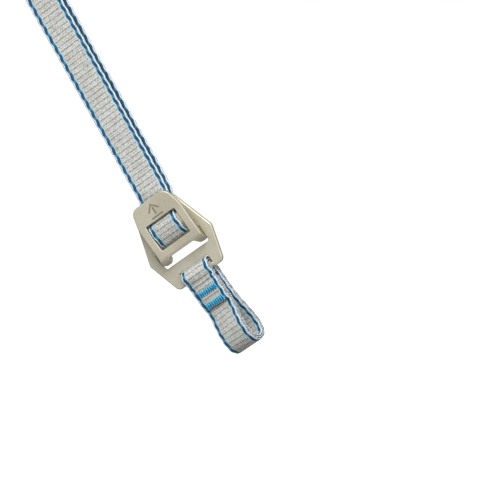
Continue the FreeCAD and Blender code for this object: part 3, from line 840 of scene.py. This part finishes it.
# Courses of the strap's middle. Outside the buckle they are (x, y, z) on the strap: the hem
# folded back at the tail's end, the tail going down, the run going up, and the eye.
HEM_END = 147.0
HEM_COURSE = ((2.5, 1.9, 135.0), (2.5, 1.9, 145.6), (2.5, 1.9, HEM_END), (2.5, LAYER, HEM_END),
              (2.5, LAYER, 145.6))
TAIL_COURSE = ((2.45, 0.8, 128.0), (2.75, 0.95, 108.0), (2.35, 0.7, 88.0), (2.7, 0.9, 66.0),
               (2.4, 0.75, 44.0), (2.6, 0.62, 24.0), (2.5, LAYER, 11.0))
RUN_COURSE = tuple((0.0, -LAYER, z) for z in (3.0, 14.0, 60.0, 110.0, 163.0, 173.0))
# The eye's arch, then the heights of its straight legs and of the seam below it
EYE_HEIGHT = 196.7
EYE_RADIUS = 6.3
EYE_LEG = (182.5, 191.0)
EYE_SEAM = (173.0, 163.0, 150.0)
# Inside the buckle they are (x, y, z, yaw) on the plates: down between the plates, forward
# round the bar in the hook plate's window, and up between the plates before the first layer
BACK_COURSE = ((8.1, -0.625, 56.5, 3.0), (7.1, -0.625, 52.5, 0.6), (5.1, -0.625, 47.5, 0.0),
               (2.6, -0.625, 41.5, 0.0), (1.2, -0.625, 34.5, 0.0))
WRAP_PLACE = 1.1
WRAP_COURSE = tuple((WRAP_PLACE, y, z, 0.0) for y, z in (
    (-0.625, 29.3), (-0.63, 27.85), (-1.0, 27.0), (-2.5, 26.35), (-3.3, 27.45), (-4.6, 30.15),
    (-5.35, 32.35), (-5.5, 35.65), (-5.55, 38.05), (-4.9, 39.35), (-3.4, 40.15), (-1.9, 40.9),
    (-1.775, 42.35)))
FRONT_COURSE = ((1.5, -1.775, 45.5, 0.0), (3.4, -1.775, 50.0, 0.0), (5.2, -1.775, 54.0, 1.2))


def strap_controls():
    """From the hem of the tail, down into the buckle, round its bar, and up to the eye."""
    leg_low, leg_high = EYE_LEG
    arch = turn_points(0.0, EYE_HEIGHT, EYE_RADIUS, 180.0, 0.0)
    side = ((-EYE_RADIUS, leg_low), (-EYE_RADIUS, leg_high), *arch, (EYE_RADIUS, leg_high),
            (EYE_RADIUS, leg_low), *((LAYER, z) for z in EYE_SEAM))
    eye_course = tuple((0.0, y, z) for y, z in side)

    def above(course):
        return [(*on_strap(*point), STRAP_TWIST) for point in course]
    return [*above(HEM_COURSE + TAIL_COURSE), *BACK_COURSE, *WRAP_COURSE, *FRONT_COURSE,
            *above(RUN_COURSE + eye_course)]


strap, strap_length = webbing("strap_webbing", strap_controls(), WEBBING)
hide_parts("strap_run", "strap_tail", "strap_in_buckle")
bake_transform(strap)


# ---------------------------------------------------------------- hammock loop
TURNS = 3
# Radii of the first turn round the bar and at the loop's bottom, and the step to the next turn
FIRST_TURN = 2.475
LOW_FIRST_TURN = 6.1
TURN_PITCH = 1.1
# The turns lie looser where they go over the bar
LOOSE_PITCH = 1.53
OVER_BAR_HEIGHT = 0.9
LOW_CENTRE = -41.7
# The tucked end in the middle of the loop, and the heights of its points
TUCKED_DEPTH = 0.12
TUCKED_HEIGHTS = (-5.3, -12.0, -19.5)
DOWN_HEIGHTS = (-25.0, -35.0)
UP_HEIGHTS = (-35.0, -22.5, -10.0, -1.0)
# Below the bar the front leg is crumpled: how far each point is pulled in, and its height
CRUMPLE = ((0.7, -2.2), (-0.45, -3.2), (0.3, -4.6), (-0.1, -6.4), (0.0, -8.5), (0.0, -19.5))


def loop_controls():
    """Three turns round the receiver plate's lower bar, from the end tucked in behind the
    front leg to the end that lies on it below the lower tack."""
    line = [(TUCKED_DEPTH, z) for z in TUCKED_HEIGHTS]
    for number in range(TURNS):
        bar = FIRST_TURN + number * TURN_PITCH
        over = FIRST_TURN + number * LOOSE_PITCH
        low = LOW_FIRST_TURN + number * TURN_PITCH
        line += zip((BAR_DEPTH - bar, BAR_DEPTH - low), DOWN_HEIGHTS)
        line += turn_points(BAR_DEPTH, LOW_CENTRE, low, 180.0, 360.0)
        line += zip((BAR_DEPTH + low, BAR_DEPTH + bar, BAR_DEPTH + bar, BAR_DEPTH + over),
                    UP_HEIGHTS)
        line += turn_points(BAR_DEPTH, BAR_HEIGHT, over, 0.0, 180.0)
        line.append((BAR_DEPTH - over, OVER_BAR_HEIGHT))
        line += [(BAR_DEPTH - bar + pulled, z) for pulled, z in CRUMPLE]
    return [(*on_loop(0.0, y, z), loop_yaw(z)) for y, z in line]


loop, loop_length = webbing("loop_webbing", loop_controls(), WEBBING)
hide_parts("hammock_loop")
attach(loop, "loop")


# ---------------------------------------------------------------- bar tacks
# The faces of the webbing that the tacks lie on: the front of the loop's outermost turn, the
# front of the eye's seam and the back of the hem
LOOP_FACE = BAR_DEPTH - FIRST_TURN - (TURNS - 1) * TURN_PITCH - WEB_THICKNESS / 2
EYE_FACE = -1.1
HEM_FACE = 2.42
# Each tack's node, the frame it lies in, its x and z there, its face, the way out, its body
TACKS = (
    ("loop_tack_upper", on_loop, 0.0, -9.1, LOOP_FACE, -1, "loop"),
    ("loop_tack_lower", on_loop, 0.0, -17.2, LOOP_FACE, -1, "loop"),
    ("eye_tack_upper", on_strap, 0.0, 166.0, EYE_FACE, -1, "strap"),
    ("eye_tack_lower", on_strap, 0.0, 155.0, EYE_FACE, -1, "strap"),
    ("hem_tack", on_strap, 2.5, 139.5, HEM_FACE, 1, "strap"),
)
for name, place, centre, height, face, outward, body in TACKS:
    tack = bar_tack(name + "_thread", place, centre, height, face, outward, THREAD_BLUE)
    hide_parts(name)
    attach(tack, body)


# ---------------------------------------------------------------- floor and backdrop
# The floor's and the backdrop's sizes are in metres
FLOOR_HEIGHT = -0.5
FLOOR_HALF = 12.0
FLOOR_LEVEL = 0.88
FLOOR_GLOW = 0.45
floor_points = [(x * FLOOR_HALF, y * FLOOR_HALF, FLOOR_HEIGHT)
                for x, y in ((-1, -1), (1, -1), (1, 1), (-1, 1))]
floor = make_object("floor", floor_points, [(0, 1, 2, 3)],
                    plain_material("floor_pale", FLOOR_LEVEL, FLOOR_GLOW), smooth=False)
floor.visible_diffuse = False
floor.visible_glossy = False

BACKDROP_RADIUS = 13.0
BACKDROP_FINENESS = 4
BACKDROP_LEVEL = 0.0
BACKDROP_GLOW = 1.0
ball = bmesh.new()
bmesh.ops.create_icosphere(ball, subdivisions=BACKDROP_FINENESS, radius=BACKDROP_RADIUS)
backdrop_mesh = bpy.data.meshes.new("backdrop")
ball.to_mesh(backdrop_mesh)
ball.free()
backdrop_mesh.materials.append(plain_material("backdrop_white", BACKDROP_LEVEL, BACKDROP_GLOW))
backdrop = place_object("backdrop", backdrop_mesh)
for kind in ("diffuse", "glossy", "transmission", "volume_scatter", "shadow"):
    setattr(backdrop, "visible_" + kind, False)


# ---------------------------------------------------------------- camera
# The photograph's view: turned from the plates' front, level with them, and rolled
AZIMUTH = 22.0
ROLL = 35.0
LENS = 200.0
SENSOR = 36.0
CLIP_METRES = (0.01, 100.0)
# What the picture shows: its width, and its centre's place right of and above the plates' origin
PICTURE_WIDTH = 293.1
PICTURE_CENTRE = (28.6, 15.1)

# The picture's own axes in the row frame; backward leads from the buckle to the camera
cos_azimuth, sin_azimuth = cos_sin(AZIMUTH)
cos_roll, sin_roll = cos_sin(ROLL)
level_right = Vector((cos_azimuth, sin_azimuth, 0.0))
backward = Vector((sin_azimuth, -cos_azimuth, 0.0))
upright = Vector((0.0, 0.0, 1.0))
right = level_right * cos_roll - upright * sin_roll
up = level_right * sin_roll + upright * cos_roll
target = Vector(PLATE_ORIGIN) + right * PICTURE_CENTRE[0] + up * PICTURE_CENTRE[1]
distance = PICTURE_WIDTH * LENS / SENSOR

camera_data = bpy.data.cameras.new("camera")
camera_data.lens = LENS
camera_data.sensor_width = SENSOR
camera_data.clip_start, camera_data.clip_end = CLIP_METRES
camera = place_object("camera", camera_data)
turn = Matrix((right, up, backward)).transposed()
camera.matrix_world = Matrix.Translation((target + backward * distance) * MM) @ turn.to_4x4()
bpy.context.scene.camera = camera


# ---------------------------------------------------------------- light
# Directions are (right, up, backward) in the picture's own axes, from the buckle to the light
FILL_WAY = (-0.8, -0.1, 0.8)
FILL_METRES_AWAY = 1.6
FILL_METRES_WIDE = 0.9
FILL_WATTS = 1.8
SUN_WAY = (-0.05, 0.8, 0.65)
SUN_SPREAD = 30.0
SUN_STRENGTH = 1.9
# The world's two lobes: a direction each, and the range from closeness to it to brightness
KEY_WAY = (0.3, 0.6, 0.75)
KEY_RANGE = (-0.2, 0.95, 0.06, 1.35)
REAR_WAY = (0.0, 0.3, -1.0)
REAR_RANGE = (0.5, 0.95, 0.0, 1.6)


def from_picture(way):
    """A direction given in the picture's own axes."""
    return (right * way[0] + up * way[1] + backward * way[2]).normalized()


def add_light(name, kind, way, energy):
    """A light that shines from a direction."""
    data = bpy.data.lights.new(name, kind)
    data.energy = energy
    light = place_object(name, data)
    light.rotation_mode = "QUATERNION"
    light.rotation_quaternion = from_picture(way).to_track_quat("Z", "Y")
    return light


fill = add_light("fill", "AREA", FILL_WAY, FILL_WATTS)
fill.data.shape = "DISK"
fill.data.size = FILL_METRES_WIDE
fill.location = target * MM + from_picture(FILL_WAY) * FILL_METRES_AWAY

sun = add_light("sun", "SUN", SUN_WAY, SUN_STRENGTH)
sun.data.angle = math.radians(SUN_SPREAD)


def make_world():
    """A soft room: bright on the key's side, dim beside it and lit again from the rear."""
    world = bpy.data.worlds.new("world")
    world.use_nodes = True
    tree = world.node_tree
    place = texture_place(tree, "Generated")
    key = ramp(tree, dot(tree, place, from_picture(KEY_WAY)), *KEY_RANGE)
    rear = ramp(tree, dot(tree, place, from_picture(REAR_WAY)), *REAR_RANGE)
    background = tree.nodes["Background"]
    set_inputs(background, Color=WHITE)
    feed(tree, background.inputs["Strength"], add(tree, key, rear))
    return world


bpy.context.scene.world = make_world()
bpy.context.scene.view_settings.view_transform = "Standard"
